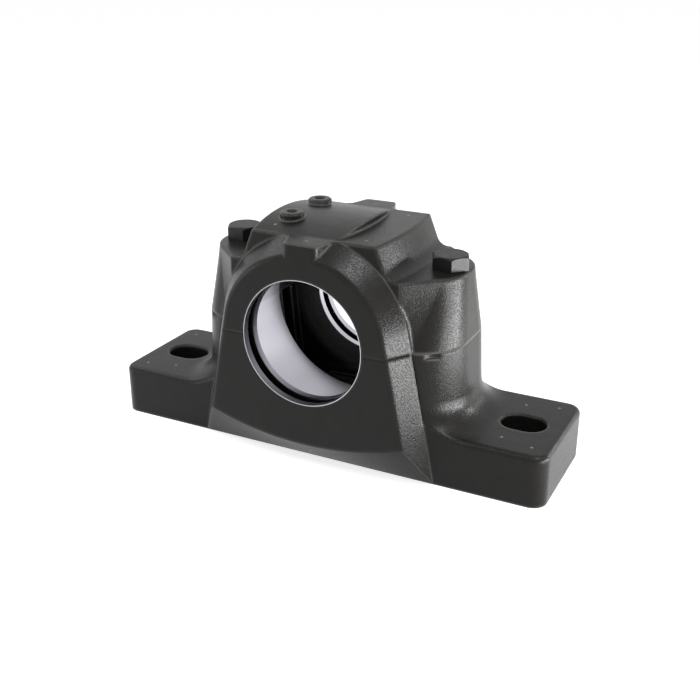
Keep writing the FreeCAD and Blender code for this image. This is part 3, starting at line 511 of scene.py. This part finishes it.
# %% Rays that see the glow
def sees_background(tree):
    """1 for a ray from the camera, and for one that a glossy or clear surface sends on."""
    path = add(tree, "ShaderNodeLightPath")
    sent_on = add(tree, "ShaderNodeMath", {0: path.outputs["Is Glossy Ray"],
                                           1: path.outputs["Is Transmission Ray"]},
                  operation="MAXIMUM")
    return add(tree, "ShaderNodeMath", {0: path.outputs["Is Camera Ray"],
                                        1: sent_on.outputs[0]},
               operation="MAXIMUM").outputs[0]


print("the glow is for camera, glossy and transmission rays")

# %% Matt white board
FLOOR_WHITE, FLOOR_GLOW = "#d9d9d9", 0.7


def pale_floor():
    """Matt white board with a glow added to it, for those rays only."""
    material, tree = new_material("matt_white_board")
    board = add(tree, "ShaderNodeBsdfDiffuse", values={"Color": linear(FLOOR_WHITE)})
    strength = add(tree, "ShaderNodeMath", {0: sees_background(tree)}, {1: FLOOR_GLOW},
                   operation="MULTIPLY")
    glow = add(tree, "ShaderNodeEmission", {"Strength": strength.outputs[0]})
    total = add(tree, "ShaderNodeAddShader", {0: board.outputs[0], 1: glow.outputs[0]})
    add(tree, "ShaderNodeOutputMaterial", {"Surface": total.outputs[0]})
    return material


print("of the board's white,", FLOOR_GLOW, "is glow")

# %% The board itself
FLOOR_HALF, FLOOR_DROP = 6.0, 0.02 * MM


def make_floor():
    """A square: each corner is (u, v, -drop), with u and v at plus or minus half its side."""
    u, v = np.meshgrid([-FLOOR_HALF, FLOOR_HALF], [-FLOOR_HALF, FLOOR_HALF])
    corners = np.stack([u.ravel(), v.ravel(), np.full(4, -FLOOR_DROP)], axis=1)
    mesh = bpy.data.meshes.new("floor")
    mesh.from_pydata(corners.tolist(), [], [(0, 1, 3, 2)])
    mesh.materials.append(pale_floor())
    board = bpy.data.objects.new("floor", mesh)
    bpy.context.scene.collection.objects.link(board)
    return board


floor = make_floor()
print("the board faces up:", floor.data.polygons[0].normal.z > 0)

# %% The room
ROOM_FILL, ROOM_WHITE = 0.42, 1.0

world = bpy.data.worlds.new("studio")
bpy.context.scene.world = world
world.use_nodes = True
room = world.node_tree
room.nodes.clear()
fill = add(room, "ShaderNodeBackground",
           values={"Color": linear("#ffffff"), "Strength": ROOM_FILL})
white = add(room, "ShaderNodeBackground",
            values={"Color": linear("#ffffff"), "Strength": ROOM_WHITE})
seen = add(room, "ShaderNodeMixShader",
           {0: sees_background(room), 1: fill.outputs[0], 2: white.outputs[0]})
add(room, "ShaderNodeOutputWorld", {"Surface": seen.outputs[0]})
print("the room lights with", ROOM_FILL, "of white and is seen as", ROOM_WHITE)

# %% [markdown]
# ## Lamps
#
# A dark casting shows its form by its highlights more than by its colour. One large lamp
# would shade it evenly and hide the rounds. So seven soft, weak panels stand round it, each
# for one group of surfaces. On the right, a panel that lies on the floor and a thin strip
# just above it brighten the flanks and the root of the column. A narrow panel in front on
# the left draws the front edges, and a small one behind on the right draws the column's
# side. A panel above lights the crown, and two on the left keep that flank from going black.

# %% One soft panel
def panel(name, place, aim, width, height, power):
    """A rectangular lamp at place that faces aim: sizes in metres and power in watts."""
    data = bpy.data.lights.new(name, "AREA")
    data.shape = "RECTANGLE"
    data.size = width
    data.size_y = height
    data.energy = power
    lamp = bpy.data.objects.new(name, data)
    bpy.context.scene.collection.objects.link(lamp)
    lamp.location = place
    towards = Vector(aim) - Vector(place)
    lamp.rotation_euler = towards.to_track_quat("-Z", "Y").to_euler()
    return lamp


# The middle of the block, and a point straight above the panel that lies on the floor.
MIDDLE = (0, 0, SHAFT_HEIGHT)
OVERHEAD = (0.35, 0.02, 1.0)
print("most panels face the shaft's axis at", round(SHAFT_HEIGHT, 3), "m")

# %% The seven panels
# Each row holds a name, a place, what it faces, a width, a height and a power.
PANELS = [
    ("floor_panel_right", (0.35, 0.02, 0.004), OVERHEAD, 0.25, 0.26, 3.2),
    ("low_strip_right", (0.475, 0.0, 0.035), MIDDLE, 0.4, 0.05, 2.8),
    ("front_panel_left", (-0.27, -0.3, 0.6), MIDDLE, 0.3, 0.12, 1.3),
    ("small_panel_back", (0.37, 0.31, 0.145), MIDDLE, 0.12, 0.06, 0.5),
    ("top_panel", (0.3, -0.1, 0.8), MIDDLE, 0.25, 0.25, 3.2),
    ("high_panel_left", (-0.5, 0.1, 0.5), MIDDLE, 0.3, 0.3, 0.7),
    ("low_panel_left", (-0.5, -0.33, 0.12), MIDDLE, 0.3, 0.15, 0.55),
]
lamps = [panel(*row) for row in PANELS]
print(len(lamps), "panels give", round(sum(lamp.data.energy for lamp in lamps), 2), "watts")

# %% [markdown]
# ## Camera
#
# The picture looks at the block from the front right and from above. The camera could be
# moved by eye until it looks alike. Its angles, place and focal length were instead fitted
# to the edges of the foot and the opening, whose real sizes are known. Its axes follow from
# the two angles: right lies level, back points away from the block, and up is square to both.

# %% Camera
AZIMUTH = math.radians(26.66)
ELEVATION = math.radians(22.98)
CAMERA_PLACE = (234.3 * MM, -458.7 * MM, 267.3 * MM)
SENSOR_WIDTH, FOCAL_LENGTH = 36, 51.87

right = Vector((math.cos(AZIMUTH), math.sin(AZIMUTH), 0))
back = Vector((math.sin(AZIMUTH) * math.cos(ELEVATION),
               -math.cos(AZIMUTH) * math.cos(ELEVATION), math.sin(ELEVATION)))
up = back.cross(right)

lens = bpy.data.cameras.new("camera")
lens.sensor_width = SENSOR_WIDTH
lens.lens = FOCAL_LENGTH
camera = bpy.data.objects.new("camera", lens)
bpy.context.scene.collection.objects.link(camera)
turn = Matrix((right, up, back)).transposed().to_4x4()
camera.matrix_world = Matrix.Translation(CAMERA_PLACE) @ turn
bpy.context.scene.camera = camera
bpy.context.scene.view_settings.view_transform = "Standard"
print("the camera looks along", [round(-c, 3) for c in back])
